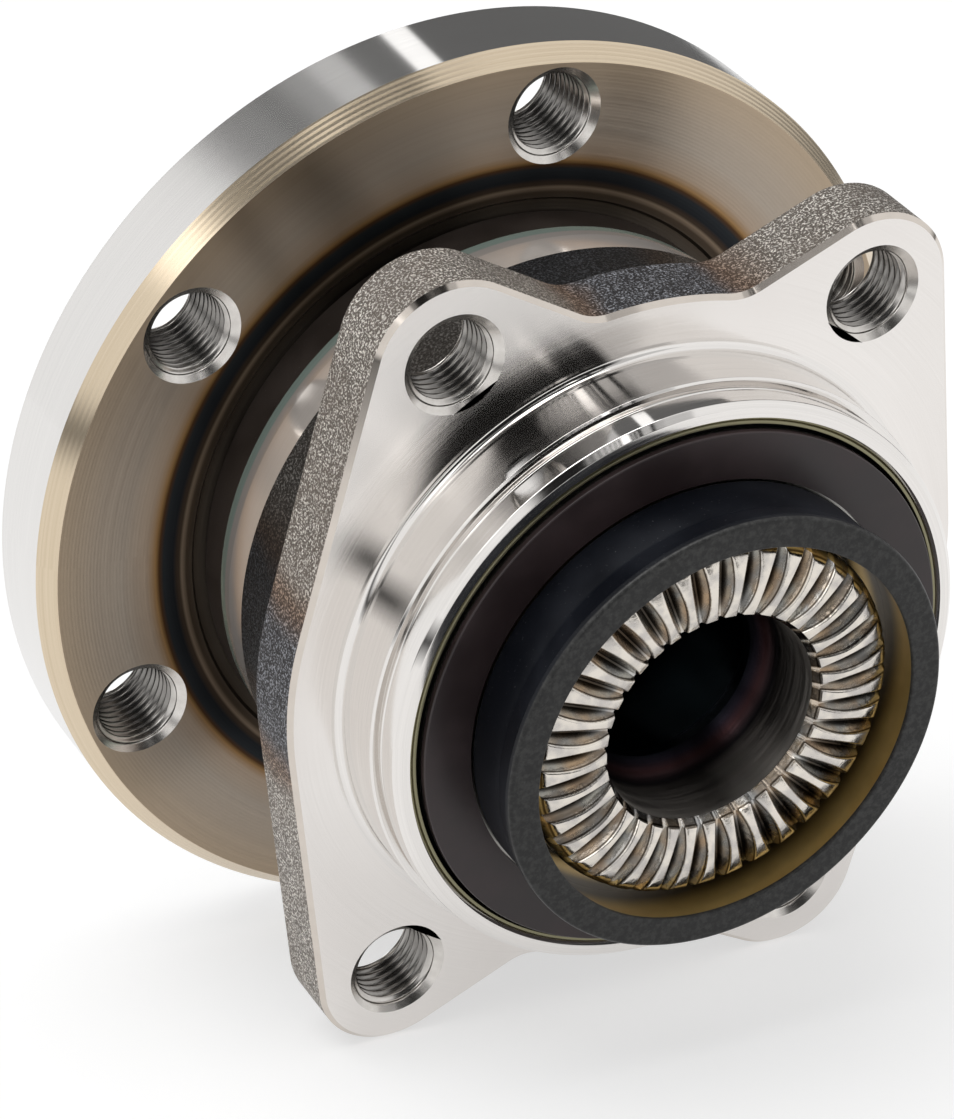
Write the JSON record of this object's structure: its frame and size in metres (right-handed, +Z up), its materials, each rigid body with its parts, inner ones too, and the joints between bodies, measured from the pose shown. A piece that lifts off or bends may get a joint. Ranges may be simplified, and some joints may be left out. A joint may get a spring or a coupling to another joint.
{
  "type": "wheel hub bearing",
  "caption": "Flanged wheel hub bearing: eared outer ring for the knuckle, turning wheel flange with threaded bolt holes, sealed ball rows and a face spline for the drive joint.",
  "frame": {"origin": "on the spin axis, in the machined knuckle face of the outer ring, at the centre of the four ear holes", "axes": "+Y along the spin axis towards the wheel, -Y towards the drive joint, +Z up the long side of the ear hole rectangle, +X completes the frame"},
  "size_m": [0.1522, 0.1046, 0.1522],
  "materials": {
    "forged_ring_steel": "machined faces over shot-blasted forging, with blue and straw heat tint",
    "machined_hub_steel": "fine turned, with a brown and blue hardening tint near the hub's neck",
    "bearing_steel": "ground and polished",
    "cage_polyamide": "glass-filled polyamide",
    "passivated_sheet": "pressed sheet with olive yellow passivation",
    "stainless_sheet": "pressed stainless sheet",
    "seal_rubber": "matt nitrile rubber",
    "encoder_rubber": "smooth magnetised rubber, dark brown",
    "sleeve_rubber": "dark grey rubber with a lighter worn rim"
  },
  "bodies": {
    "outer_ring_body": {"outer_ring": "forged_ring_steel", "inboard_seal_case": "passivated_sheet", "inboard_seal_lips": "seal_rubber", "outboard_seal_case": "passivated_sheet", "outboard_seal_lips": "seal_rubber"},
    "hub_body": {"wheel_hub": "machined_hub_steel", "inner_ring": "bearing_steel", "slinger": "stainless_sheet", "encoder_ring": "encoder_rubber", "sleeve_carrier": "passivated_sheet", "sealing_sleeve": "sleeve_rubber"},
    "inboard_row": {"inboard_cage": "cage_polyamide", "inboard_ball_01": "bearing_steel", "inboard_ball_02": "bearing_steel", "inboard_ball_03": "bearing_steel", "inboard_ball_04": "bearing_steel", "inboard_ball_05": "bearing_steel", "inboard_ball_06": "bearing_steel", "inboard_ball_07": "bearing_steel", "inboard_ball_08": "bearing_steel", "inboard_ball_09": "bearing_steel", "inboard_ball_10": "bearing_steel", "inboard_ball_11": "bearing_steel", "inboard_ball_12": "bearing_steel", "inboard_ball_13": "bearing_steel", "inboard_ball_14": "bearing_steel", "inboard_ball_15": "bearing_steel", "inboard_ball_16": "bearing_steel"},
    "outboard_row": {"outboard_cage": "cage_polyamide", "outboard_ball_01": "bearing_steel", "outboard_ball_02": "bearing_steel", "outboard_ball_03": "bearing_steel", "outboard_ball_04": "bearing_steel", "outboard_ball_05": "bearing_steel", "outboard_ball_06": "bearing_steel", "outboard_ball_07": "bearing_steel", "outboard_ball_08": "bearing_steel", "outboard_ball_09": "bearing_steel", "outboard_ball_10": "bearing_steel", "outboard_ball_11": "bearing_steel", "outboard_ball_12": "bearing_steel", "outboard_ball_13": "bearing_steel", "outboard_ball_14": "bearing_steel", "outboard_ball_15": "bearing_steel", "outboard_ball_16": "bearing_steel"}
  },
  "joints": [
    {"name": "hub_spin", "type": "hinge", "parent": "outer_ring_body", "child": "hub_body", "pos_m": [0, 0.02, 0], "axis": [0, 1, 0], "continuous": true},
    {"name": "inboard_row_orbit", "type": "hinge", "parent": "outer_ring_body", "child": "inboard_row", "pos_m": [0, -0.0015, 0], "axis": [0, 1, 0], "continuous": true},
    {"name": "outboard_row_orbit", "type": "hinge", "parent": "outer_ring_body", "child": "outboard_row", "pos_m": [0, 0.0265, 0], "axis": [0, 1, 0], "continuous": true}
  ],
  "couplings": [
    {"joint": "inboard_row_orbit", "follows": "hub_spin", "ratio": 0.43174},
    {"joint": "outboard_row_orbit", "follows": "hub_spin", "ratio": 0.43174}
  ]
}
